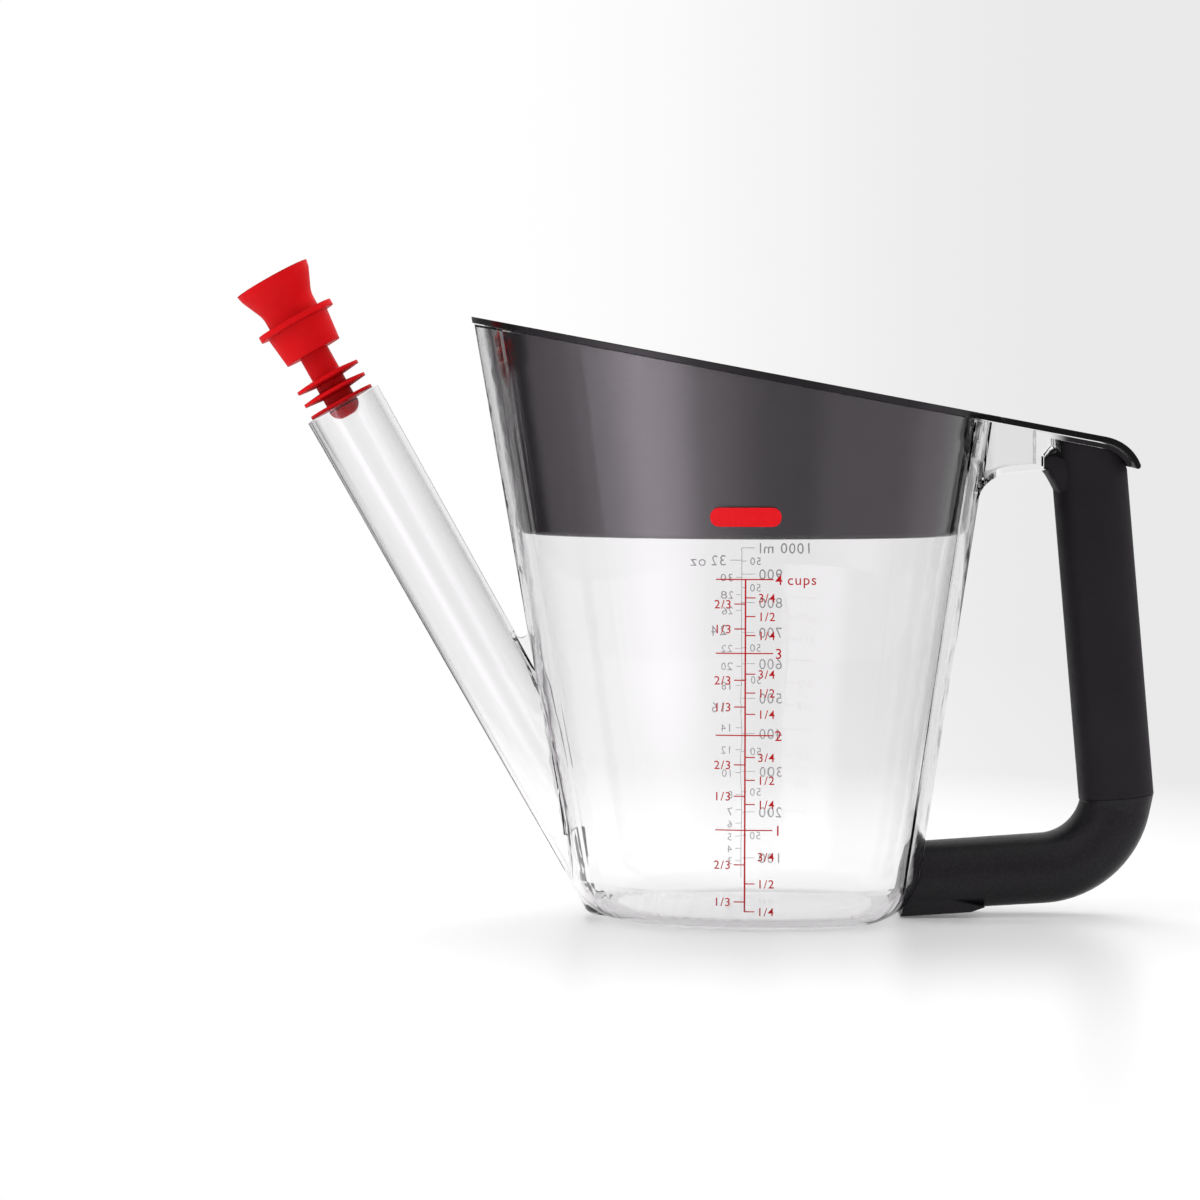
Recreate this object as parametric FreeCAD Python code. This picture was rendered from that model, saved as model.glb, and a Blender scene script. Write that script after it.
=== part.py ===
import FreeCAD, Part
import math
import os

# Fat separator jug: a clear tapered cup with a low-set pouring spout, a lift-out
# strainer, a silicone spout stopper and a two-part handle on a stiff core.
# +Z is up, the spout points to -X, the handle to +X, and the origin is the middle
# of the foot, on the table. Lengths are in millimetres, angles in degrees.

Vector = FreeCAD.Vector
ALONG_X = Vector(1, 0, 0)
ALONG_Y = Vector(0, 1, 0)
UP = Vector(0, 0, 1)
REACH = 400.0
OVERLAP = 7.0
JOINED = 1e-6
QUARTER_TURN = 90.0
FULL_TURN = 360.0

# Cup: its walls are straight drafts that leave these footprints at table height
foot_front = 50.0
foot_rear = 51.4
foot_half_depth = 43.0
front_draft = 9.8
rear_draft = 8.5
side_draft = 5.0
widest_x = 6.0
nose_sweep = 35.0
front_shoulder_sweep = 30.0
front_shoulder_radius = 44.0
rear_sweep = 24.0
rear_corner_sweep = 46.0
rear_corner_radius = 24.0
cup_wall = 2.4
cup_floor = 2.6
cup_corner_radius = 13.0
corner_sections = 4

# Slanting rim, and the bend that carries it down over the top of the handle
rim_height = 164.5
rim_slope = 10.7
tab_bend_reach = 18.0
tab_bend_radius = 14.4
tab_end_angle = 24.0

# Spout: a slightly tapered tube, its bore parallel where the stopper seats
spout_angle = 29.3
spout_mouth_x = -120.3
spout_mouth_drop = 10.9
spout_radius = 11.95
spout_draft = 0.35
bore_radius = 10.45
bore_seat_length = 36.0
bore_draft = 0.45
divider_end_z = 25.0
port_sill = 1.0
spout_foot_gap = 0.3
spout_foot_radius = 2.5
web_thickness = 4.0
web_notch_z = 85.6
web_notch_radius = 2.1

# Clear arm from the rim to the grip, with its tongue over the grip
arm_end_x = 89.0
arm_end_drop = 13.5
arm_rise = 5.7
arm_root_radius = 12.0
arm_bite = 1.8
arm_half_width = 8.0
arm_flare_radius = 7.0
arm_wall = 2.2
tongue_thickness = 1.4
tongue_end_angle = 30.0
tang_half_width = 5.0
tang_thickness = 3.0
tang_rise = 2.6
tang_reach = 15.0

# Strainer: rim flange, skirt, holed floor and thumb tab
flange_thickness = 1.8
flange_overhang = 0.5
skirt_depth = 48.9
skirt_clearance = 0.5
skirt_wall = 1.6
strainer_floor = 1.6
strainer_corner_radius = 1.5
hole_radius = 2.2
hole_pitch = 13.5
hole_stagger = 30.0
hole_margin = 7.0
tab_half_width = 12.5
tab_tip_radius = 8.0
tab_flare_radius = 9.0

# Stopper, measured along its axis from the middle of its flange, outward positive
knob_top = 14.6
knob_top_radius = 11.85
knob_waist = 5.4
knob_waist_radius = 8.2
knob_dish = 1.2
knob_dish_radius = 4.0
knob_lip = 2.2
knob_lip_taper = 0.5
knob_waist_curve = 8.0
stopper_flange_radius = 12.2
stopper_flange_thickness = 1.9
plug_top_radius = 10.0
plug_end_radius = 8.9
plug_length = 9.8
stem_radius = 4.6
fin_radius = 10.25
fin_places = (19.4, 23.65, 27.75)
fin_root_thickness = (2.3, 2.3, 1.5)
fin_tip_thickness = 1.0
tip_radius = 4.75
tip_end = 32.3
tip_round = 3.4
stopper_raise = 28.6

# Handle
handle_lean = 5.2
grip_reach = 23.1
grip_half_width = 11.2
grip_half_depth = 10.5
oval_end_sweep = 22.0
oval_corner_sweep = 46.0
oval_corner_share = 0.72
core_half_width = 7.4
core_half_depth = 6.8
core_socket_depth = 6.0
core_over_tang = 0.8
grip_cap = 1.2
elbow_end_half_height = 10.3
elbow_half_height = 10.6
elbow_half_depth = 9.6
elbow_bend_radius = 23.6
elbow_neck_angle = 12.0
elbow_rise = 3.8
elbow_centre_z = 37.9
seam_drop = 1.5
elbow_face_inset = 4.4
elbow_face_angle = 18.8
boss_inset = 0.7
tenon_radius = 5.8
tenon_length = 12.0
pad_start_z = 0.5
pad_length = 21.2
pad_half_width = 8.0
pad_step_length = 4.2
pad_step_height = 1.5

# Collar of the grip: how far along the arm each outline stands, and how far it
# reaches below and above the end of the arm
collar_stations = ((0.0, 0.3, 5.2), (2.0, 3.2, 7.0), (3.7, 6.4, 7.8),
                   (7.0, 11.0, 8.3), (12.0, 13.0, 8.3))
collar_half_depth = 8.6

# Fits
seat_gap = 0.3
fit_gap = 0.1


def tangent(angle):
    return math.tan(math.radians(angle))


def sine(angle):
    return math.sin(math.radians(angle))


def cosine(angle):
    return math.cos(math.radians(angle))


def quarter_arcs(length, depth, end_sweep, corner_sweep, corner_radius):
    """Three tangent arcs for a quarter outline: radius and sweep of end, corner, side.
    The end and side radii follow from the quarter's length and depth."""
    turned = end_sweep + corner_sweep
    length_left = length - corner_radius * (cosine(end_sweep) - cosine(turned))
    depth_left = depth - corner_radius * (sine(turned) - sine(end_sweep))
    along = 1 - cosine(end_sweep)
    across = 1 - sine(turned)
    scale = along * across - cosine(turned) * sine(end_sweep)
    end_radius = (length_left * across - cosine(turned) * depth_left) / scale
    side_radius = (along * depth_left - sine(end_sweep) * length_left) / scale
    return [(end_radius, end_sweep), (corner_radius, corner_sweep),
            (side_radius, QUARTER_TURN - turned)]


def arc_wire(first_end, u_axis, v_axis, arcs):
    """Closed run of tangent arcs (radius, sweep). The first lies across the u axis,
    outermost at the given point."""
    def ray(angle):
        return u_axis * cosine(angle) + v_axis * sine(angle)

    radius, sweep = arcs[0]
    facing = -sweep / 2
    start = first_end - u_axis * radius + ray(facing) * radius
    edges = []
    for radius, sweep in arcs:
        centre = start - ray(facing) * radius
        middle = centre + ray(facing + sweep / 2) * radius
        facing += sweep
        finish = centre + ray(facing) * radius
        edges.append(Part.Arc(start, middle, finish).toShape())
        start = finish
    return Part.Wire(edges)


def rounded_outline(corners, to_vector):
    """Straight runs with a tangent arc at each corner (a, b, radius)."""
    edges = []
    ends = []
    count = len(corners)
    for index in range(count):
        before = Vector(*corners[index - 1][:2], 0)
        here = Vector(*corners[index][:2], 0)
        after = Vector(*corners[(index + 1) % count][:2], 0)
        radius = corners[index][2]
        if radius == 0:
            ends.append((here, here, None))
            continue
        back = (before - here).normalize()
        ahead = (after - here).normalize()
        half_turn = back.getAngle(ahead) / 2
        reach = radius / math.tan(half_turn)
        inward = (back + ahead).normalize()
        middle = here + inward * (radius / math.sin(half_turn) - radius)
        ends.append((here + back * reach, here + ahead * reach, middle))
    for index in range(count):
        start, finish, middle = ends[index]
        if middle is not None:
            arc = Part.Arc(to_vector(start), to_vector(middle), to_vector(finish))
            edges.append(arc.toShape())
        following = ends[(index + 1) % count][0]
        if finish.distanceToPoint(following) > JOINED:
            edges.append(Part.LineSegment(to_vector(finish), to_vector(following)).toShape())
    return Part.Wire(edges)


def side_prism(corners, half_width):
    """Outline in X and Z, drawn out to both sides of the middle plane."""
    wire = rounded_outline(corners, lambda p: Vector(p.x, -half_width, p.y))
    return Part.Face(wire).extrude(ALONG_Y * (2 * half_width))


def plan_prism(corners):
    """Outline in X and Y, drawn up over the whole height."""
    wire = rounded_outline(corners, lambda p: Vector(p.x, p.y, 0))
    return Part.Face(wire).extrude(UP * REACH)


def block(low, high):
    size = Vector(*high) - Vector(*low)
    return Part.makeBox(size.x, size.y, size.z, Vector(*low))


# Reference lines of the cup, spout and handle

def cup_front_x(z):
    return -foot_front - z * tangent(front_draft)


def cup_rear_x(z):
    return foot_rear + z * tangent(rear_draft)


def rim_plane_z(x, depth):
    """Height of the plane that lies this deep under the top of the rim."""
    return rim_height - x * tangent(rim_slope) - depth / cosine(rim_slope)


def spout_mouth_z():
    return rim_height - spout_mouth_drop


def spout_direction():
    """Down the spout, from its mouth into the cup."""
    return Vector(sine(spout_angle), 0, -cosine(spout_angle))


def spout_mouth():
    return Vector(spout_mouth_x, 0, spout_mouth_z())


def spout_upper_edge_x(z):
    """The spout's edge that faces the cup, in the middle plane."""
    edge = spout_mouth() + Vector(cosine(spout_angle), 0, sine(spout_angle)) * spout_radius
    return edge.x + (edge.z - z) * tangent(spout_angle - spout_draft)


def handle_direction():
    return Vector(-sine(handle_lean), 0, cosine(handle_lean))


def seam_centre():
    return Vector(arm_end_x + grip_reach, 0, elbow_centre_z - seam_drop)


def arm_end_z():
    return rim_plane_z(arm_end_x, 0) - arm_end_drop


def tang_z():
    return arm_end_z() + tang_rise


def skirt_bottom_z():
    return rim_height - skirt_depth


def elbow_face_x():
    return foot_rear - elbow_face_inset


# Cup

def cup_half_depth(z):
    return foot_half_depth + z * tangent(side_draft)


def cup_section(z, inset):
    """Level outline of the cup, square at the handle and round at the spout."""
    growth = z * tangent(side_draft) - inset
    depth = cup_half_depth(z) - inset
    rear = quarter_arcs(cup_rear_x(z) - inset - widest_x, depth, rear_sweep,
                        rear_corner_sweep, rear_corner_radius + growth)
    front = quarter_arcs(widest_x - cup_front_x(z) - inset, depth, nose_sweep,
                         front_shoulder_sweep, front_shoulder_radius + growth)
    rear_end = (rear[0][0], 2 * rear_sweep)
    nose = (front[0][0], 2 * nose_sweep)
    arcs = [rear_end, rear[1], rear[2], front[2], front[1], nose,
            front[1], front[2], rear[2], rear[1]]
    return arc_wire(Vector(cup_rear_x(z) - inset, 0, z), ALONG_X, ALONG_Y, arcs)


def cup_taper(inset, low, high):
    """The cup's tapered form, its side moved inwards by the inset."""
    return Part.makeLoft([cup_section(low, inset), cup_section(high, inset)], True, True)


def rounded_cup(inset, low, high, radius):
    """The tapered form with a rounded bottom, smooth into the wall at every draft."""
    outlines = []
    for step in range(corner_sections + 1):
        angle = (QUARTER_TURN - side_draft) * step / corner_sections
        away = 1 / cosine(side_draft) - cosine(angle) * tangent(side_draft) - sine(angle)
        outlines.append(cup_section(low + radius * (1 - cosine(angle)),
                                    inset + radius * away))
    corner = Part.makeLoft(outlines, True, False)
    wall = Part.makeLoft([outlines[-1], cup_section(high, inset)], True, True)
    return corner.fuse(wall)


def above_rim(depth):
    slab = block((-REACH, -REACH, 0), (REACH, REACH, REACH))
    slab.rotate(Vector(0, 0, 0), ALONG_Y, rim_slope)
    slab.translate(Vector(0, 0, rim_plane_z(0, depth)))
    return slab


def lip_depth():
    return flange_thickness + seat_gap


def cup_outside():
    return rounded_cup(0, 0, rim_height + foot_front, cup_corner_radius)


def cup_hollow():
    return rounded_cup(cup_wall, cup_floor, rim_height + foot_front,
                       cup_corner_radius - cup_wall)


# Crown: the rim's plane, bent down over the handle, at some depth below its top

def crown_centre():
    normal = Vector(sine(rim_slope), 0, cosine(rim_slope))
    start_x = arm_end_x + tab_bend_reach
    start = Vector(start_x, 0, rim_plane_z(start_x, 0))
    return start - normal * tab_bend_radius


def crown_point(depth, angle):
    ray = Vector(cosine(angle), 0, sine(angle))
    return crown_centre() + ray * (tab_bend_radius - depth)


def crown_start_angle():
    return QUARTER_TURN - rim_slope


def crown_arc(depth, end_angle):
    start_angle = crown_start_angle()
    middle_angle = (start_angle + end_angle) / 2
    return Part.Arc(crown_point(depth, start_angle), crown_point(depth, middle_angle),
                    crown_point(depth, end_angle)).toShape()


def rim_line(x, depth):
    start = Vector(x, 0, rim_plane_z(x, depth))
    return Part.LineSegment(start, crown_point(depth, crown_start_angle())).toShape()


def drawn_out(edges, half_width):
    face = Part.Face(Part.Wire(Part.__sortEdges__(edges)))
    face.translate(Vector(0, -half_width, 0))
    return face.extrude(ALONG_Y * (2 * half_width))


def crown_plate(top, bottom, start_x, end_angle, half_width):
    """Plate between two depths, with a round end."""
    end_top = crown_point(top, end_angle)
    end_bottom = crown_point(bottom, end_angle)
    onward = Vector(sine(end_angle), 0, -cosine(end_angle))
    nose = (end_top + end_bottom) / 2 + onward * ((bottom - top) / 2)
    heel_top = Vector(start_x, 0, rim_plane_z(start_x, top))
    heel_bottom = Vector(start_x, 0, rim_plane_z(start_x, bottom))
    edges = [rim_line(start_x, top), crown_arc(top, end_angle),
             Part.Arc(end_top, nose, end_bottom).toShape(),
             crown_arc(bottom, end_angle), rim_line(start_x, bottom),
             Part.LineSegment(heel_bottom, heel_top).toShape()]
    return drawn_out(edges, half_width)


def under_crown(depth):
    """All that lies below the crown, open outwards below the bend's outermost point."""
    origin = Vector(0, 0, 0)
    start = Vector(0, 0, rim_plane_z(0, depth))
    outermost = crown_point(depth, 0)
    outside = Vector(REACH, 0, outermost.z)
    corner = Vector(REACH, 0, 0)
    edges = [rim_line(0, depth), crown_arc(depth, 0),
             Part.LineSegment(outermost, outside).toShape(),
             Part.LineSegment(outside, corner).toShape(),
             Part.LineSegment(corner, origin).toShape(),
             Part.LineSegment(origin, start).toShape()]
    return drawn_out(edges, REACH / 2)


# Handle forms that the jug and the handle's own pieces share

def placed_oval(centre, travel_angle, half_height, half_depth):
    """Oval across a path that travels at this angle above +X, in the middle plane."""
    outward = Vector(sine(travel_angle), 0, -cosine(travel_angle))
    corner_radius = oval_corner_share * min(half_height, half_depth)
    end, corner, side = quarter_arcs(half_height, half_depth, oval_end_sweep,
                                     oval_corner_sweep, corner_radius)
    whole_end = (end[0], 2 * end[1])
    whole_side = (side[0], 2 * side[1])
    arcs = [whole_end, corner, whole_side, corner] * 2
    return arc_wire(centre + outward * half_height, outward, ALONG_Y, arcs)


def elbow_centre():
    return Vector(seam_centre().x - elbow_bend_radius, 0, elbow_centre_z)


def elbow_point(angle):
    return elbow_centre() + Vector(cosine(angle), 0, sine(angle)) * elbow_bend_radius


def elbow_oval(angle, inset):
    return placed_oval(elbow_point(angle), angle + QUARTER_TURN,
                       elbow_half_height - inset, elbow_half_depth - inset)


def bend_start_angle():
    return elbow_rise - QUARTER_TURN


def lower_arm(inset):
    """Straight arm from inside the cup to the bend, drawn in by the inset."""
    run = Vector(cosine(elbow_rise), 0, sine(elbow_rise))
    length = elbow_centre().x - elbow_face_x() + 2 * OVERLAP
    inner = placed_oval(elbow_point(bend_start_angle()) - run * length, elbow_rise,
                        elbow_end_half_height - inset, elbow_half_depth - inset)
    return Part.makeLoft([inner, elbow_oval(bend_start_angle(), inset)], True, True)


def tenon_form(growth):
    """Round pin from inside the cup's wall into the lower arm."""
    run = Vector(cosine(elbow_rise), 0, sine(elbow_rise))
    bend_start = elbow_point(bend_start_angle())
    length = elbow_centre().x - elbow_face_x() + OVERLAP
    pin = Part.makeCylinder(tenon_radius + growth, length, bend_start - run * length, run)
    return pin.cut(beyond_elbow_face(tenon_length + growth))


def elbow_form():
    """Lower arm, bend, and the neck that swells to the grip's outline at the seam."""
    section = Part.Face(elbow_oval(bend_start_angle(), 0))
    bend = section.revolve(elbow_centre(), -ALONG_Y,
                           -elbow_neck_angle - bend_start_angle())
    seam = placed_oval(seam_centre() - handle_direction() * fit_gap,
                       QUARTER_TURN + handle_lean, grip_half_width, grip_half_depth)
    neck = Part.makeLoft([elbow_oval(-elbow_neck_angle, 0), seam], True, True)
    return lower_arm(0).fuse(bend).fuse(neck)


def beyond_elbow_face(distance):
    """Everything on the handle's side of the elbow's slanting end face."""
    slab = block((0, -REACH, -REACH), (REACH, REACH, REACH))
    slab.rotate(Vector(0, 0, 0), ALONG_Y, elbow_face_angle)
    slab.translate(Vector(elbow_face_x() + distance / cosine(elbow_face_angle), 0, 0))
    return slab


def handle_bar(half_width, half_depth, low, high):
    """Straight oval bar on the handle's axis, between two distances from the seam."""
    direction = handle_direction()
    wire = placed_oval(seam_centre() + direction * low, QUARTER_TURN + handle_lean,
                       half_width, half_depth)
    return Part.Face(wire).extrude(direction * (high - low))


def collar_form(growth):
    """Mouth of the grip, which swells from its front edge towards the arm."""
    sections = []
    for forward, below, above in collar_stations:
        place = Vector(arm_end_x + fit_gap + forward - growth, 0,
                       arm_end_z() + (above - below) / 2)
        sections.append(placed_oval(place, 0, (above + below) / 2 + growth,
                                    collar_half_depth + growth))
    return Part.makeLoft(sections, True, False)


def grip_form(growth):
    """Outside of the grip, made larger all round by the growth."""
    above_seam = rim_height - seam_centre().z
    bar = handle_bar(grip_half_width + growth, grip_half_depth + growth, -growth,
                     above_seam)
    crown_depth = lip_depth() + tongue_thickness + fit_gap - growth
    return bar.fuse(collar_form(growth)).common(under_crown(crown_depth))


def tang(growth):
    half = tang_thickness / 2 + growth
    return block((arm_end_x - arm_wall, -tang_half_width - growth, tang_z() - half),
                 (arm_end_x + tang_reach + growth, tang_half_width + growth, tang_z() + half))


# Jug body

def spout_outside():
    length = spout_mouth_z() / cosine(spout_angle) + spout_radius
    end_radius = spout_radius - length * tangent(spout_draft)
    cone = Part.makeCone(spout_radius, end_radius, length, spout_mouth(), spout_direction())
    standing = cone.cut(block((-REACH, -REACH, -REACH), (REACH, REACH, spout_foot_gap)))
    foot = [e for e in standing.Edges if e.BoundBox.ZMax < spout_foot_gap + JOINED]
    return standing.makeFillet(spout_foot_radius, foot)


def spout_bore():
    """Passage from the mouth to the foot: it keeps out of the cup's wall above the
    divider's end, and opens into the cup below it."""
    direction = spout_direction()
    seat_end = spout_mouth() + direction * bore_seat_length
    length = spout_mouth_z() / cosine(spout_angle) - bore_seat_length
    end_radius = bore_radius - length * tangent(bore_draft)
    seat = Part.makeCylinder(bore_radius, bore_seat_length + 1,
                             spout_mouth() - direction, direction)
    run = Part.makeCone(bore_radius, end_radius, length, seat_end, direction)
    bore = seat.fuse(run)
    port = bore.common(block((-REACH, -REACH, cup_floor + port_sill),
                             (REACH, REACH, divider_end_z)))
    upper = bore.cut(block((-REACH, -REACH, -REACH), (REACH, REACH, divider_end_z)))
    return upper.cut(cup_outside()).fuse(port)


def crotch_z():
    """Height where the spout's upper edge leaves the cup."""
    start = spout_upper_edge_x(0) + foot_front
    return start / (tangent(spout_angle - spout_draft) - tangent(front_draft))


def spout_web():
    """Thin web that closes the crotch between the spout and the cup."""
    into = cup_wall / 2
    low_z = crotch_z() - 2 * cup_wall
    corners = ((spout_upper_edge_x(web_notch_z) - into, web_notch_z, 0),
               (cup_front_x(web_notch_z) + into, web_notch_z, 0),
               (cup_front_x(low_z) + into, low_z, 0))
    web = side_prism(corners, web_thickness / 2)
    middle_x = (spout_upper_edge_x(web_notch_z) + cup_front_x(web_notch_z)) / 2
    notch = Part.makeCylinder(web_notch_radius, web_thickness,
                              Vector(middle_x, -web_thickness / 2, web_notch_z), ALONG_Y)
    return web.cut(notch)


def arm_underside_z(x):
    return arm_end_z() - (arm_end_x - x) * tangent(arm_rise)


def arm_form(inset, end_x):
    """Arm seen from the side and from above, each rounded into the cup's wall."""
    root_x = cup_rear_x(arm_end_z())
    start_x = root_x - OVERLAP
    wall_x = root_x - arm_bite
    low = arm_end_z() - 2 * arm_root_radius
    side = side_prism(((start_x, low, 0), (cup_rear_x(low) - arm_bite, low, 0),
                       (wall_x, arm_underside_z(root_x) + inset, arm_root_radius),
                       (end_x, arm_underside_z(end_x) + inset, 0),
                       (end_x, rim_height, 0), (start_x, rim_height, 0)), foot_half_depth)
    half = arm_half_width - inset
    wide = half + arm_flare_radius
    plan = plan_prism(((start_x, -wide, 0), (wall_x, -wide, 0),
                       (wall_x, -half, arm_flare_radius), (end_x, -half, 0),
                       (end_x, half, 0), (wall_x, half, arm_flare_radius),
                       (wall_x, wide, 0), (start_x, wide, 0)))
    return side.common(plan)


def arm_trough():
    """Hollow of the arm, open at the top, between the cup and its end wall."""
    return arm_form(arm_wall, arm_end_x - arm_wall).cut(cup_outside())


def jug_body():
    """One moulding: cup, spout, arm with tongue and tang, and the elbow's tenon."""
    lip = above_rim(lip_depth())
    arm = arm_form(0, arm_end_x + OVERLAP).cut(lip).cut(grip_form(fit_gap))
    tongue = crown_plate(lip_depth(), lip_depth() + tongue_thickness, arm_end_x - arm_wall,
                         tongue_end_angle, arm_half_width)
    boss = lower_arm(boss_inset).cut(beyond_elbow_face(-fit_gap))
    body = cup_outside().cut(lip)
    for piece in (spout_outside(), spout_web(), boss, tenon_form(0), arm):
        body = body.fuse(piece)
    body = body.cut(arm_trough())
    for piece in (tongue, tang(0)):
        body = body.fuse(piece)
    return body.cut(cup_hollow()).cut(spout_bore())


# Strainer

def strainer_holes():
    """Staggered rows of round holes, kept a margin inside the skirt."""
    z = skirt_bottom_z()
    room = cup_wall + skirt_clearance + hole_margin
    field = Part.Face(cup_section(z, room))
    row_pitch = hole_pitch * cosine(hole_stagger)
    rows = int(cup_half_depth(z) / row_pitch)
    columns = int((cup_rear_x(z) - cup_front_x(z)) / hole_pitch)
    holes = []
    for row in range(-rows, rows + 1):
        shift = hole_pitch / 2 if row % 2 else 0
        for column in range(-columns, columns + 1):
            place = Vector(column * hole_pitch + shift, row * row_pitch, z)
            if field.isInside(place, JOINED, True):
                start = place - UP * strainer_floor
                holes.append(Part.makeCylinder(hole_radius, 3 * strainer_floor, start))
    return Part.makeCompound(holes)


def strainer_tab():
    plate = crown_plate(0, flange_thickness, cup_rear_x(rim_height) - 3 * OVERLAP,
                        tab_end_angle, foot_half_depth)
    root_x = cup_rear_x(rim_plane_z(foot_rear, 0)) + flange_overhang
    half = tab_half_width
    wide = half + tab_flare_radius
    tip_x = crown_point(0, tab_end_angle).x + flange_thickness
    heel_x = root_x - OVERLAP
    outline = plan_prism(((heel_x, -wide, 0), (root_x, -wide, 0),
                          (root_x, -half, tab_flare_radius), (tip_x, -half, tab_tip_radius),
                          (tip_x, half, tab_tip_radius), (root_x, half, tab_flare_radius),
                          (root_x, wide, 0), (heel_x, wide, 0)))
    return plate.common(outline)


def strainer():
    top = above_rim(0)
    high = rim_height + foot_front
    flange = cup_taper(-flange_overhang, skirt_bottom_z(), high)
    flange = flange.cut(top).common(above_rim(flange_thickness))
    skirt_inset = cup_wall + skirt_clearance
    skirt = rounded_cup(skirt_inset, skirt_bottom_z(), high, strainer_corner_radius).cut(top)
    basket = cup_taper(skirt_inset + skirt_wall, skirt_bottom_z() + strainer_floor, high)
    body = skirt.fuse(flange).fuse(strainer_tab())
    return body.cut(basket).cut(strainer_holes())


# Stopper

def stopper_profile():
    """Half outline from the dished top of the knob down to the tip."""
    half_flange = stopper_flange_thickness / 2
    plug_end = -half_flange - plug_length
    corners = [(0, knob_top - knob_dish, 0),
               (knob_top_radius / 2, knob_top - knob_dish, knob_dish_radius),
               (knob_top_radius, knob_top, 0),
               (knob_top_radius - knob_lip_taper, knob_top - knob_lip, 0),
               (knob_waist_radius, knob_waist, knob_waist_curve),
               (knob_waist_radius, half_flange, 0),
               (stopper_flange_radius, half_flange, 0),
               (stopper_flange_radius, -half_flange, 0),
               (plug_top_radius, -half_flange, 0),
               (plug_end_radius, plug_end, 0), (stem_radius, plug_end, 0)]
    for place, root in zip(fin_places, fin_root_thickness):
        corners += [(stem_radius, -place + root / 2, 0),
                    (fin_radius, -place + fin_tip_thickness / 2, 0),
                    (fin_radius, -place - fin_tip_thickness / 2, 0),
                    (stem_radius, -place - root / 2, 0)]
    corners += [(tip_radius, -fin_places[-1] - fin_root_thickness[-1], 0),
                (tip_radius, -tip_end, tip_round), (0, -tip_end, 0)]
    return corners


def stopper():
    wire = rounded_outline(stopper_profile(), lambda p: Vector(p.x, 0, p.y))
    body = Part.Face(wire).revolve(Vector(0, 0, 0), UP, FULL_TURN)
    body.rotate(Vector(0, 0, 0), ALONG_Y, -spout_angle)
    body.translate(spout_mouth() - spout_direction() * stopper_raise)
    return body


# Handle pieces

def core_form(growth):
    """Core from its socket in the elbow to just under the grip's closed top."""
    top_z = tang_z() + tang_thickness / 2 + core_over_tang
    height = (top_z - seam_centre().z) / cosine(handle_lean)
    bar = handle_bar(core_half_width + growth, core_half_depth + growth,
                     -core_socket_depth - growth, height + growth)
    crown_depth = lip_depth() + tongue_thickness + fit_gap + grip_cap
    return bar.common(under_crown(crown_depth - growth))


def handle_core():
    return core_form(0).cut(tang(fit_gap))


def grip_sleeve():
    return grip_form(0).cut(core_form(fit_gap)).cut(tang(fit_gap))


def pad_underside_z(x):
    return pad_start_z + (x - elbow_face_x()) * tangent(elbow_rise)


def elbow_pad():
    """Flat pad under the end of the lower arm, with a sloped step at its end."""
    start_x = elbow_face_x() - OVERLAP
    pad_end_x = elbow_face_x() + pad_length
    step_x = pad_end_x + pad_step_length
    corners = ((start_x, pad_underside_z(start_x), 0),
               (pad_end_x, pad_underside_z(pad_end_x), 0),
               (step_x, pad_underside_z(pad_end_x) + pad_step_height, 0),
               (start_x, pad_underside_z(start_x) + elbow_half_height, 0))
    return side_prism(corners, pad_half_width)


def handle_elbow():
    body = elbow_form().fuse(elbow_pad()).common(beyond_elbow_face(0))
    body = body.cut(rounded_cup(-fit_gap, 0, rim_height, cup_corner_radius))
    return body.cut(tenon_form(fit_gap)).cut(core_form(fit_gap))


def main():
    os.makedirs("parts", exist_ok=True)
    pieces = {
        "jug_body": jug_body,
        "strainer": strainer,
        "spout_stopper": stopper,
        "grip_sleeve": grip_sleeve,
        "handle_core": handle_core,
        "handle_elbow": handle_elbow,
    }
    for name, make in pieces.items():
        shape = make()
        shape.exportStep("parts/" + name + ".step")
        print(name, "solids", len(shape.Solids), "valid", shape.isValid(),
              "volume", round(shape.Volume / 1000, 2), "ml")


main()
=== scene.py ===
import math

import bmesh
import bpy
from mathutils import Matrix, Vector
from mathutils.bvhtree import BVHTree


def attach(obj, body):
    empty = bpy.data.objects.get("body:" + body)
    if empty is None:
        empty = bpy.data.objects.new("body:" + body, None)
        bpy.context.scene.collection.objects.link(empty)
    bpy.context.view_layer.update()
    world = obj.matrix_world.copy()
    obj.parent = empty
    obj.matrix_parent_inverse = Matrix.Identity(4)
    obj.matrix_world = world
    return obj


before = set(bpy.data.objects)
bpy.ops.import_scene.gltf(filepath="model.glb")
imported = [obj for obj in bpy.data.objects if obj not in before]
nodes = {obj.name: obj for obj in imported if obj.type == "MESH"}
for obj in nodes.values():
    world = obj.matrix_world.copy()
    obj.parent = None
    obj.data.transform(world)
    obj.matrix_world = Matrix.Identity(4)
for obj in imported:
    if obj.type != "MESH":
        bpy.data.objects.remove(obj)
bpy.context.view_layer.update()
scene = bpy.context.scene
MM = 0.001


# ---------------------------------------------------------------- camera

# Fitted to the jug's outline in the photo.
camera = bpy.data.objects.new("camera", bpy.data.cameras.new("camera"))
scene.collection.objects.link(camera)
camera.location = (-0.0135, -1.130, 0.1678)
camera.rotation_euler = (math.radians(86.31), 0.0, math.radians(1.5))
camera.data.lens = 113.01
camera.data.sensor_width = 36.0
camera.data.clip_end = 100.0
scene.camera = camera
scene.view_settings.view_transform = "Standard"


# ---------------------------------------------------------------- node helpers

def new_material(name):
    material = bpy.data.materials.new(name)
    material.use_nodes = True
    tree = material.node_tree
    tree.nodes.clear()
    return material, tree


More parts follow.
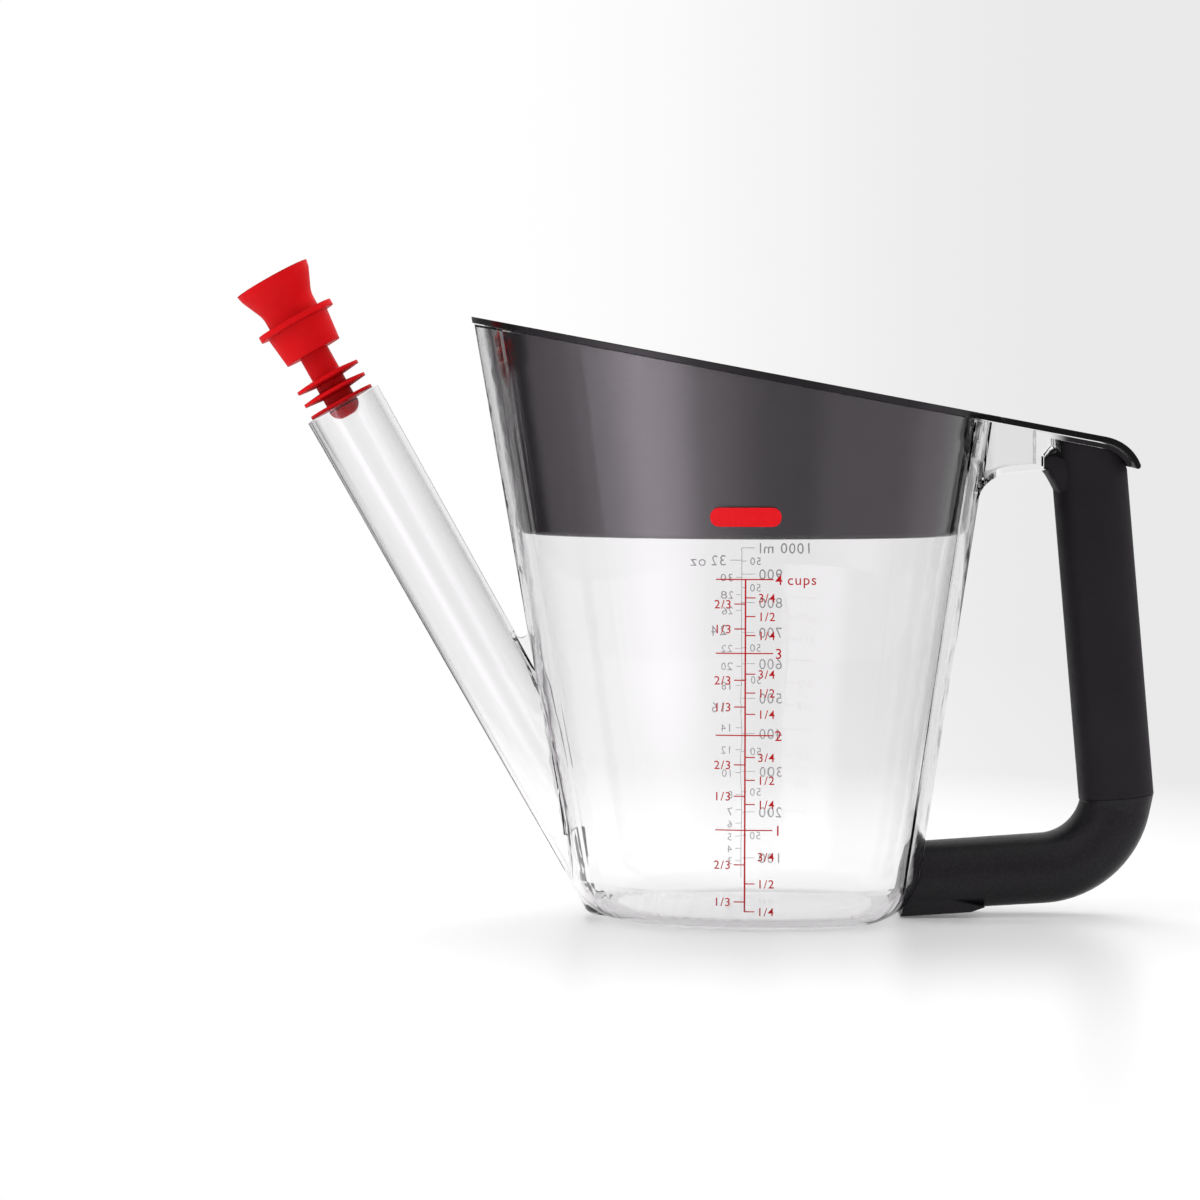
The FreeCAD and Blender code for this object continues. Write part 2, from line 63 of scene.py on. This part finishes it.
def node(tree, kind, settings=None, inputs=None):
    made = tree.nodes.new(kind)
    for key, value in (settings or {}).items():
        setattr(made, key, value)
    for key, value in (inputs or {}).items():
        if isinstance(value, bpy.types.NodeSocket):
            tree.links.new(value, made.inputs[key])
        else:
            made.inputs[key].default_value = value
    return made


def ramp(tree, source, stops):
    made = node(tree, "ShaderNodeValToRGB", None, {"Fac": source})
    points = made.color_ramp.elements
    while len(points) < len(stops):
        points.new(0.5)
    for point, (position, value) in zip(points, stops):
        point.position = position
        point.color = value if len(value) == 4 else (*value, 1.0)
    return made.outputs["Color"]


def grey(level):
    return (level, level, level, 1.0)


def lilac(level):
    """The slightly violet grey that the clear and black plastics show in the photo."""
    return (level, 0.91 * level, level, 1.0)


def place(tree):
    """Position on the piece in metres, which for the jug and the floor is the frame's."""
    return node(tree, "ShaderNodeTexCoord").outputs["Object"]


def noise(tree, scale, detail=4.0, roughness=0.5):
    return node(tree, "ShaderNodeTexNoise", None,
                {"Vector": place(tree), "Scale": scale, "Detail": detail,
                 "Roughness": roughness}).outputs["Fac"]


def bump(tree, height, distance, strength=1.0, under=None):
    made = node(tree, "ShaderNodeBump", None,
                {"Height": height, "Distance": distance, "Strength": strength})
    if under is not None:
        tree.links.new(under, made.inputs["Normal"])
    return made.outputs["Normal"]


def soft_edges(tree, radius):
    """Normals that round the sharp edges, as a mould leaves them."""
    return node(tree, "ShaderNodeBevel", {"samples": 4}, {"Radius": radius}).outputs["Normal"]


def maths(tree, operation, first, second):
    return node(tree, "ShaderNodeMath", {"operation": operation},
                {0: first, 1: second}).outputs[0]


def smooth(tree, source, start, end, first, last):
    """A soft step from first to last, as source goes from start to end."""
    return node(tree, "ShaderNodeMapRange", {"interpolation_type": "SMOOTHSTEP"},
                {"Value": source, "From Min": start, "From Max": end,
                 "To Min": first, "To Max": last}).outputs[0]


def mix(tree, share, first, second, blend="MIX"):
    """The colour first where share is 0, and second where it is 1."""
    return node(tree, "ShaderNodeMix", {"data_type": "RGBA", "blend_type": blend},
                {0: share, 6: first, 7: second}).outputs[2]


def axes(tree, vector):
    return node(tree, "ShaderNodeSeparateXYZ", None, {0: vector}).outputs


def even_grey(tree, level):
    return node(tree, "ShaderNodeCombineColor", None,
                {0: level, 1: level, 2: level}).outputs[0]


def surface(tree, shader):
    node(tree, "ShaderNodeOutputMaterial", None, {"Surface": shader})


def coat(tree, colour, roughness, normal, extra=None):
    """The usual surface: a Principled shader with its own constants in extra."""
    inputs = {"Base Color": colour, "Roughness": roughness, "Normal": normal}
    inputs.update(extra or {})
    surface(tree, node(tree, "ShaderNodeBsdfPrincipled", None, inputs).outputs[0])


# ---------------------------------------------------------------- materials

TONGUE_SHADE_X = (0.091, 0.097)    # where the painted dark over the grip's clear tongue starts
TONGUE_SHADE_Z = (0.120, 0.128)


def clear_plastic():
    """Clear plastic with painted shade where it is seen at a low angle, standing in for
    the dark lines of thick edges, and painted dark over the grip, standing in for the black
    seen through the tongue. It lets shadow rays through, so that the inside is lit."""
    material, tree = new_material("clear_plastic")
    waves = noise(tree, 9.0, 2.0)
    haze = ramp(tree, noise(tree, 60.0, 6.0, 0.65),
                [(0.35, grey(0.002)), (0.8, grey(0.02))])
    # Painted shade: the base colour darkens where the surface is seen at a low angle.
    facing = node(tree, "ShaderNodeLayerWeight", None, {"Blend": 0.5}).outputs["Facing"]
    painted_edge_shade = ramp(tree, facing, [(0.25, (0.96, 0.96, 0.96)), (0.6, (0.95, 0.95, 0.95)),
                               (0.85, (0.88, 0.875, 0.885)), (1.0, (0.5, 0.49, 0.51))])
    # Painted shade: near black over the grip, where the tongue's edges would show the black
    # under it.
    spot = axes(tree, place(tree))
    painted_tongue_shade = maths(tree, "MULTIPLY", smooth(tree, spot["X"], *TONGUE_SHADE_X, 0.0, 1.0),
                   smooth(tree, spot["Z"], *TONGUE_SHADE_Z, 0.0, 1.0))
    painted_shade_tint = mix(tree, painted_tongue_shade, painted_edge_shade, (0.02, 0.018, 0.02, 1.0))
    glass = node(tree, "ShaderNodeBsdfPrincipled", None,
                 {"Base Color": painted_shade_tint, "Roughness": haze,
                  "IOR": 1.5, "Transmission Weight": 1.0,
                  "Normal": bump(tree, waves, 0.0001, 0.01)})
    lit = node(tree, "ShaderNodeBsdfTransparent", None, {"Color": grey(0.965)})
    path = node(tree, "ShaderNodeLightPath")
    mixed = node(tree, "ShaderNodeMixShader", None,
                 {0: path.outputs["Is Shadow Ray"], 1: glass.outputs[0], 2: lit.outputs[0]})
    surface(tree, mixed.outputs[0])
    return material


def black_plastic():
    """Glossy strainer, with the faint flow of a moulding in its gloss."""
    material, tree = new_material("black_plastic")
    cloud = ramp(tree, noise(tree, 25.0, 5.0),
                 [(0.3, (0.0050, 0.0045, 0.0050)), (0.7, (0.0065, 0.0060, 0.0065))])
    rough = ramp(tree, noise(tree, 120.0, 5.0, 0.6), [(0.3, grey(0.08)), (0.75, grey(0.15))])
    flow = bump(tree, noise(tree, 30.0, 2.0), 0.00005, 0.2, soft_edges(tree, 0.0003))
    coat(tree, cloud, rough, flow, {"IOR": 1.5})
    return material


def red_silicone():
    """Satin silicone, with painted shade that deepens the red between the fins."""
    material, tree = new_material("red_silicone")
    cloud = ramp(tree, noise(tree, 70.0, 4.0),
                 [(0.3, (0.70, 0.002, 0.005)), (0.72, (0.78, 0.003, 0.007))])
    # Painted shade: ambient occlusion darkens the red between the fins.
    painted_fin_shade = node(tree, "ShaderNodeAmbientOcclusion", {"samples": 8}, {"Distance": 0.012})
    painted_fin_shade = ramp(tree, painted_fin_shade.outputs["AO"], [(0.2, grey(0.72)), (0.9, grey(1.0))])
    cloud = mix(tree, 1.0, cloud, painted_fin_shade, "MULTIPLY")
    rough = ramp(tree, noise(tree, 400.0, 4.0), [(0.3, grey(0.42)), (0.75, grey(0.55))])
    fine = bump(tree, noise(tree, 1800.0, 3.0), 0.00002, 0.3, soft_edges(tree, 0.0008))
    coat(tree, cloud, rough, fine,
         {"IOR": 1.41, "Specular IOR Level": 0.15, "Subsurface Weight": 0.1,
          "Subsurface Scale": 0.002})
    return material


def soft_grip():
    """Matte soft-touch rubber."""
    material, tree = new_material("soft_grip")
    cloud = ramp(tree, noise(tree, 40.0, 5.0),
                 [(0.3, (0.0105, 0.0082, 0.0108)), (0.75, (0.0140, 0.0115, 0.0145))])
    rough = ramp(tree, noise(tree, 300.0, 4.0), [(0.3, grey(0.52)), (0.75, grey(0.64))])
    fine = bump(tree, noise(tree, 2600.0, 3.0, 0.6), 0.00003, 0.6, soft_edges(tree, 0.0008))
    coat(tree, cloud, rough, fine,
         {"IOR": 1.45, "Specular IOR Level": 0.28, "Sheen Weight": 0.01,
          "Sheen Roughness": 0.5})
    return material


def elbow_plastic():
    """Hard plastic with a fine spark-eroded grain."""
    material, tree = new_material("elbow_plastic")
    grains = node(tree, "ShaderNodeTexVoronoi", {"feature": "F1"},
                  {"Vector": place(tree), "Scale": 1700.0}).outputs["Distance"]
    cloud = ramp(tree, noise(tree, 1500.0, 2.0),
                 [(0.35, (0.0055, 0.0047, 0.0060)), (0.7, (0.0125, 0.0112, 0.0130))])
    rough = ramp(tree, noise(tree, 500.0, 4.0), [(0.3, grey(0.32)), (0.75, grey(0.44))])
    grain = bump(tree, grains, 0.00006, 0.45, soft_edges(tree, 0.0006))
    coat(tree, cloud, rough, grain, {"IOR": 1.46, "Specular IOR Level": 0.28})
    return material


def core_plastic():
    """The hidden core of the grip."""
    material, tree = new_material("core_plastic")
    cloud = ramp(tree, noise(tree, 60.0), [(0.3, grey(0.03)), (0.7, grey(0.045))])
    coat(tree, cloud, 0.6, bump(tree, noise(tree, 900.0), 0.00003, 0.5))
    return material


def ink(name, dark, light, roughness, gloss):
    material, tree = new_material(name)
    cloud = ramp(tree, noise(tree, 1200.0, 3.0), [(0.3, dark), (0.7, light)])
    coat(tree, cloud, roughness, bump(tree, noise(tree, 3000.0), 0.00001, 0.2),
         {"Specular IOR Level": gloss})
    return material


looks = {
    "jug_body": clear_plastic(),
    "strainer": black_plastic(),
    "spout_stopper": red_silicone(),
    "grip_sleeve": soft_grip(),
    "handle_core": core_plastic(),
    "handle_elbow": elbow_plastic(),
}
for name, material in looks.items():
    nodes[name].data.materials.clear()
    nodes[name].data.materials.append(material)

red_ink = ink("red_ink", (0.50, 0.002, 0.006), (0.60, 0.004, 0.010), 0.4, 0.2)
badge_red = ink("badge_red", (0.86, 0.003, 0.008), (0.94, 0.005, 0.012), 0.2, 0.2)
grey_ink = ink("grey_ink", (0.80, 0.79, 0.80), (0.87, 0.86, 0.87), 0.5, 0.4)


# ---------------------------------------------------------------- printed scales

# All sizes here are in millimetres, set out on a flat drawing in X and Z.

INK_LIFT = 0.05 * MM          # how far the print stands off the wall
UPRIGHT, FULL_MARK, PART_MARK = 0.24, 0.18, 0.17     # half the near lines' thickness
FAR_UPRIGHT, FAR_MARK = 0.10, 0.09
CUP_TEXT, PART_TEXT, FAR_TEXT, FAR_SMALL = 3.1, 2.6, 3.4, 2.5    # height of the figures
FIGURE_SHARE = 0.73           # a figure's height over the font's size
UNTICKED = 23.3               # the one quarter mark that has no line

jug_mesh = nodes["jug_body"].data
wall_tree = BVHTree.FromPolygons([v.co for v in jug_mesh.vertices],
                                 [p.vertices for p in jug_mesh.polygons])


def on_wall(x, z, side):
    """The point of the cup's outer wall at (x, z), on the near (-1) or far (1) side."""
    hit = wall_tree.ray_cast(Vector((x, side * 0.2, z)), Vector((0.0, -side, 0.0)))[0]
    return Vector((x, hit.y + side * INK_LIFT, z))


def bar(mesh, x0, x1, z0, z1):
    """A flat strip in X and Z, cut so that it can follow the wall."""
    across = max(1, math.ceil(abs(x1 - x0) / 2.0))
    up = max(1, math.ceil(abs(z1 - z0) / 4.0))
    rows = []
    for j in range(up + 1):
        z = z0 + (z1 - z0) * j / up
        rows.append([mesh.verts.new((x0 + (x1 - x0) * i / across, 0.0, z))
                     for i in range(across + 1)])
    for low, high in zip(rows, rows[1:]):
        for i in range(across):
            mesh.faces.new((low[i], low[i + 1], high[i + 1], high[i]))


def words(mesh, text, x, z, tall, align, weight):
    """Figures whose height is tall, set level with z."""
    curve = bpy.data.curves.new("text", "FONT")
    curve.body = text
    curve.space_character = 1.12
    curve.size = tall / FIGURE_SHARE
    curve.align_x = align
    curve.offset = weight
    curve.resolution_u = 3
    thing = bpy.data.objects.new("text", curve)
    flat = bpy.data.meshes.new_from_object(thing)
    made = [mesh.verts.new((x + v.co.x, 0.0, z - tall / 2.0 + v.co.y))
            for v in flat.vertices]
    for face in flat.polygons:
        if len(set(face.vertices)) > 2:
            try:
                mesh.faces.new([made[i] for i in face.vertices])
            except ValueError:
                pass    # the font gave the same face twice
    bpy.data.objects.remove(thing)
    bpy.data.curves.remove(curve)
    bpy.data.meshes.remove(flat)


def printed(name, mesh, side, material):
    """The flat drawing in mesh, laid on the wall and turned to face outwards."""
    for vert in mesh.verts:
        x = -side * vert.co.x * MM
        vert.co = on_wall(x, vert.co.z * MM, side)
    bmesh.ops.recalc_face_normals(mesh, faces=mesh.faces)
    for face in mesh.faces:
        if face.normal.y * side < 0.0:
            face.normal_flip()
    data = bpy.data.meshes.new(name)
    mesh.to_mesh(data)
    mesh.free()
    data.materials.append(material)
    made = bpy.data.objects.new(name, data)
    scene.collection.objects.link(made)
    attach(made, "jug")


# Heights of the marks above the foot.
cups = [(104.2, "4"), (82.8, "3"), (58.9, "2"), (31.1, "1")]
quarters = [(98.9, "3/4"), (93.5, "1/2"), (88.0, "1/4"), (76.8, "3/4"), (71.3, "1/2"),
            (65.1, "1/4"), (52.5, "3/4"), (45.8, "1/2"), (38.7, "1/4"), (23.3, "3/4"),
            (15.3, "1/2"), (6.9, "1/4")]
thirds = [(97.1, "2/3"), (89.9, "1/3"), (75.0, "2/3"), (67.2, "1/3"), (50.3, "2/3"),
          (41.1, "1/3"), (20.9, "2/3"), (9.9, "1/3")]
near = bmesh.new()
bar(near, -UPRIGHT, UPRIGHT, 6.8, 104.2)
for z, text in cups:
    bar(near, -8.5, 8.0, z - FULL_MARK, z + FULL_MARK)
    words(near, text, 8.5, z, CUP_TEXT, "LEFT", 0.024)
words(near, "cups", 11.9, 104.2, CUP_TEXT, "LEFT", 0.014)
for z, text in quarters:
    if z != UNTICKED:
        bar(near, 0.0, 2.9, z - PART_MARK, z + PART_MARK)
    words(near, text, 3.6, z, PART_TEXT, "LEFT", 0.02)
for z, text in thirds:
    bar(near, -3.2, 0.0, z - PART_MARK, z + PART_MARK)
    words(near, text, -4.0, z, PART_TEXT, "RIGHT", 0.02)
printed("cup_scale", near, -1, red_ink)

millilitres = [(1000, 108.1), (950, 104.0), (900, 99.9), (850, 95.7), (800, 91.0),
               (700, 81.7), (650, 76.9), (600, 71.9), (550, 66.9), (500, 61.2),
               (400, 50.1), (350, 44.5), (300, 38.3), (250, 32.0), (200, 25.7),
               (150, 18.4), (100, 11.3)]
ounces = [(32, 104.3), (30, 98.9), (28, 93.5), (26, 88.6), (24, 82.6), (22, 76.7),
          (20, 71.1), (18, 65.1), (16, 58.5), (14, 51.9), (12, 45.1), (10, 37.9),
          (8, 31.1), (7, 26.4), (6, 22.5), (5, 18.3), (4, 14.4), (3, 10.5)]
far = bmesh.new()
bar(far, -FAR_UPRIGHT, FAR_UPRIGHT, 5.0, 108.1)
for amount, z in millilitres:
    full = amount % 100 == 0
    bar(far, -4.2 if full else -1.6, 0.0, z - FAR_MARK, z + FAR_MARK)
    if full:
        text = "1000 ml" if amount == 1000 else str(amount)
        words(far, text, -5.4, z, FAR_TEXT, "RIGHT", 0.0)
    else:
        words(far, "50", -2.6, z, FAR_SMALL, "RIGHT", 0.0)
for amount, z in ounces:
    large = amount % 8 == 0 and amount > 8
    bar(far, 0.0, 3.8 if amount == 32 else 1.9, z - FAR_MARK, z + FAR_MARK)
    text = "32 oz" if amount == 32 else str(amount)
    words(far, text, 4.6 if large else 2.8, z, FAR_TEXT if large else FAR_SMALL, "LEFT", 0.0)
printed("volume_scale", far, 1, grey_ink)

# A plain bar with round ends, in columns across its width.
badge = bmesh.new()
badge_half, badge_end, badge_z = 10.3, 2.75, 122.1
steps, side_rows = 48, 3
columns = []
for k in range(steps + 1):
    x = -badge_half + 2.0 * badge_half * k / steps
    past = max(0.0, abs(x) - (badge_half - badge_end))
    half = math.sqrt(max(0.0, badge_end ** 2 - past ** 2))
    columns.append([badge.verts.new((x, 0.0, badge_z + half * row / side_rows))
                    for row in range(-side_rows, side_rows + 1)])
for low, high in zip(columns, columns[1:]):
    for k in range(2 * side_rows):
        badge.faces.new((low[k], high[k], high[k + 1], low[k + 1]))
bmesh.ops.remove_doubles(badge, verts=badge.verts, dist=0.001)
printed("front_bar", badge, -1, badge_red)


# ---------------------------------------------------------------- floor, world and lamps

DIM_SIDE = 0.18     # how much darker the right of the backdrop is
FLOOR_RADIUS = 0.95


def turn_of(tree, vector):
    """Turn about the upright axis: 0.25 is the front, 0.5 the handle, 0.75 the back."""
    return node(tree, "ShaderNodeTexGradient", {"gradient_type": "RADIAL"},
                {"Vector": vector}).outputs["Fac"]


# Cards beside and behind the jug, at their turn: two narrow dark flags draw the thin
# lines in the clear edges, and a wide one keeps the nose dark.
side_cards = [
    (0.575, grey(0.85)), (0.585, lilac(0.2)), (0.605, lilac(0.2)), (0.615, grey(0.8)),
    (0.73, grey(0.95)), (0.77, grey(0.95)), (0.85, grey(0.8)), (0.86, lilac(0.18)),
    (0.885, lilac(0.18)), (0.895, grey(0.7)), (0.92, grey(0.7)), (0.93, lilac(0.08)),
    (0.98, lilac(0.12))]


def low_cards(tree, turn):
    """What gloss shows below the horizon: a soft light at the front left, grey cards."""
    return ramp(tree, turn, [
        (0.0, lilac(0.45)), (0.07, lilac(0.75)), (0.105, lilac(1.1)), (0.15, lilac(2.4)),
        (0.175, lilac(2.1)), (0.2, lilac(1.1)), (0.25, lilac(0.55)), (0.29, lilac(0.5)),
        (0.31, lilac(0.68)), (0.38, lilac(0.7)), (0.43, lilac(0.9)), (0.48, lilac(0.85)),
        (0.53, grey(0.8)), *side_cards, (1.0, lilac(0.45))])


def high_cards(tree, turn):
    """What gloss shows above the horizon: one soft light and grey cards."""
    return ramp(tree, turn, [
        (0.0, lilac(0.6)), (0.13, lilac(0.4)), (0.165, lilac(0.4)), (0.18, lilac(1.5)),
        (0.225, lilac(1.5)), (0.235, lilac(0.35)), (0.32, lilac(0.35)), (0.36, lilac(0.7)),
        (0.5, grey(0.8)), *side_cards, (1.0, lilac(0.6))])


def floor_material():
    """Pale paper that takes the shadow, white further out, and cards where gloss sees it."""
    material, tree = new_material("floor")
    spot = place(tree)
    distance = node(tree, "ShaderNodeVectorMath", {"operation": "LENGTH"},
                    {0: spot}).outputs["Value"]
    parts = axes(tree, spot)
    right = smooth(tree, parts["X"], -0.12, 0.2, 0.0, DIM_SIDE)
    behind = smooth(tree, parts["Y"], -0.4, 0.05, 0.0, 1.0)
    inside = smooth(tree, parts["X"], 0.35, 0.6, 1.0, 0.0)
    dim = maths(tree, "MULTIPLY", maths(tree, "MULTIPLY", right, behind), inside)
    shade = maths(tree, "SUBTRACT", 1.0, dim)
    paper = node(tree, "ShaderNodeBsdfPrincipled", None,
                 {"Base Color": even_grey(tree, maths(tree, "MULTIPLY", shade, 0.98)),
                  "Roughness": 0.3, "IOR": 1.35,
                  "Normal": bump(tree, noise(tree, 300.0), 0.0001, 0.05)}).outputs[0]
    path = node(tree, "ShaderNodeLightPath").outputs
    seen = maths(tree, "MAXIMUM", path["Is Transmission Ray"],
                 maths(tree, "MAXIMUM", path["Is Camera Ray"], path["Is Glossy Ray"]))
    fill = node(tree, "ShaderNodeEmission", None,
                {"Strength": maths(tree, "MULTIPLY", seen, 0.12)}).outputs[0]
    lifted = node(tree, "ShaderNodeAddShader", None, {0: paper, 1: fill}).outputs[0]
    white = node(tree, "ShaderNodeEmission", None, {"Strength": shade}).outputs[0]
    outer = ramp(tree, distance, [(0.16, grey(0.0)), (0.4, grey(1.0))])
    plain = node(tree, "ShaderNodeMixShader", None,
                 {0: outer, 1: lifted, 2: white}).outputs[0]
    cards = node(tree, "ShaderNodeEmission", None,
                 {"Color": low_cards(tree, turn_of(tree, spot)), "Strength": 1.0}).outputs[0]
    mirrored = maths(tree, "MULTIPLY",
                     ramp(tree, distance, [(0.1, grey(0.0)), (0.3, grey(1.0))]),
                     maths(tree, "GREATER_THAN", path["Glossy Depth"], 0.5))
    surface(tree, node(tree, "ShaderNodeMixShader", None,
                       {0: mirrored, 1: plain, 2: cards}).outputs[0])
    return material


floor_mesh = bpy.data.meshes.new("floor")
floor_form = bmesh.new()
bmesh.ops.create_circle(floor_form, cap_ends=True, segments=128, radius=FLOOR_RADIUS)
floor_form.to_mesh(floor_mesh)
floor_form.free()
floor = bpy.data.objects.new("floor", floor_mesh)
floor_mesh.materials.append(floor_material())
scene.collection.objects.link(floor)


def studio_world():
    """White backdrop to the camera, soft even light, and cards that gloss shows."""
    world = bpy.data.worlds.new("studio")
    world.use_nodes = True
    tree = world.node_tree
    tree.nodes.clear()
    way = node(tree, "ShaderNodeTexCoord").outputs["Generated"]
    turn = turn_of(tree, way)
    parts = axes(tree, way)
    height = parts["Z"]
    path = node(tree, "ShaderNodeLightPath").outputs

    # The backdrop that the camera sees, a little dimmer on the right.
    back = smooth(tree, parts["Y"], 0.9, 0.97, 0.0, 1.0)
    right = smooth(tree, parts["X"], -0.06, 0.10, 0.0, DIM_SIDE)
    backdrop = even_grey(tree, maths(tree, "SUBTRACT", 1.0,
                                     maths(tree, "MULTIPLY", back, right)))

    # What is seen through the clear plastic: white behind, with flags at the sides.
    through = ramp(tree, turn, [
        (0.0, grey(0.5)), (0.04, grey(0.9)), (0.085, grey(0.4)), (0.165, grey(0.4)),
        (0.195, grey(0.9)), (0.305, grey(0.9)), (0.335, grey(0.4)), (0.415, grey(0.4)),
        (0.445, grey(1.0)), (0.63, grey(0.95)), (0.635, lilac(0.1)), (0.655, lilac(0.1)),
        (0.66, grey(0.9)), (0.68, grey(0.82)), (0.73, grey(0.84)), (0.765, grey(1.0)),
        (0.785, grey(1.0)), (0.80, grey(0.75)), (0.81, lilac(0.25)), (0.825, lilac(0.25)),
        (0.835, grey(0.85)), (0.90, grey(0.7)), (0.92, lilac(0.2)), (0.94, lilac(0.2)),
        (0.95, grey(0.8)), (1.0, grey(0.6))])

    # What gloss shows, with a dark band at the horizon for gloss that no plastic covers.
    mirrored = mix(tree, maths(tree, "GREATER_THAN", height, 0.0), low_cards(tree, turn),
                   high_cards(tree, turn))
    level = maths(tree, "SUBTRACT", smooth(tree, height, -0.2, -0.12, 0.0, 1.0),
                  smooth(tree, height, 0.02, 0.1, 0.0, 1.0))
    bare = maths(tree, "LESS_THAN", path["Transmission Depth"], 0.5)
    mirrored = mix(tree, maths(tree, "MULTIPLY", level, bare), mirrored, grey(0.12))

    # Soft even light for the rest, with a pale ceiling where rays are bent or mirrored.
    colour = mix(tree, path["Is Transmission Ray"], grey(0.55), through)
    colour = mix(tree, maths(tree, "GREATER_THAN", path["Glossy Depth"], 0.5), colour, mirrored)
    overhead = ramp(tree, node(tree, "ShaderNodeMath", {"operation": "ABSOLUTE"},
                               {0: height}).outputs[0],
                    [(0.3, grey(0.0)), (0.7, grey(1.0))])
    bent = maths(tree, "MAXIMUM", path["Is Glossy Ray"], path["Is Transmission Ray"])
    colour = mix(tree, maths(tree, "MULTIPLY", overhead, bent), colour, grey(0.9))
    colour = mix(tree, path["Is Camera Ray"], colour, backdrop)
    air = node(tree, "ShaderNodeBackground", None, {"Color": colour, "Strength": 1.0})
    node(tree, "ShaderNodeOutputWorld", None, {"Surface": air.outputs[0]})
    return world


scene.world = studio_world()


def lamp(name, where, aim, wide, tall, power):
    """A soft rectangle of light, in metres and watts, that gloss and glass don't show."""
    data = bpy.data.lights.new(name, "AREA")
    data.shape = "RECTANGLE"
    data.size = wide
    data.size_y = tall
    data.energy = power
    made = bpy.data.objects.new(name, data)
    made.location = where
    made.rotation_euler = (Vector(aim) - Vector(where)).to_track_quat("-Z", "Y").to_euler()
    made.visible_glossy = False
    made.visible_transmission = False
    scene.collection.objects.link(made)


lamp("top_lamp", (0.1, 0.5, 1.4), (0.0, 0.0, 0.05), 1.4, 1.0, 12.0)
lamp("left_lamp", (-1.4, -0.5, 0.6), (0.0, 0.0, 0.1), 0.5, 1.2, 8.0)
lamp("right_lamp", (1.5, -0.4, 0.6), (0.0, 0.0, 0.1), 0.5, 1.2, 8.0)
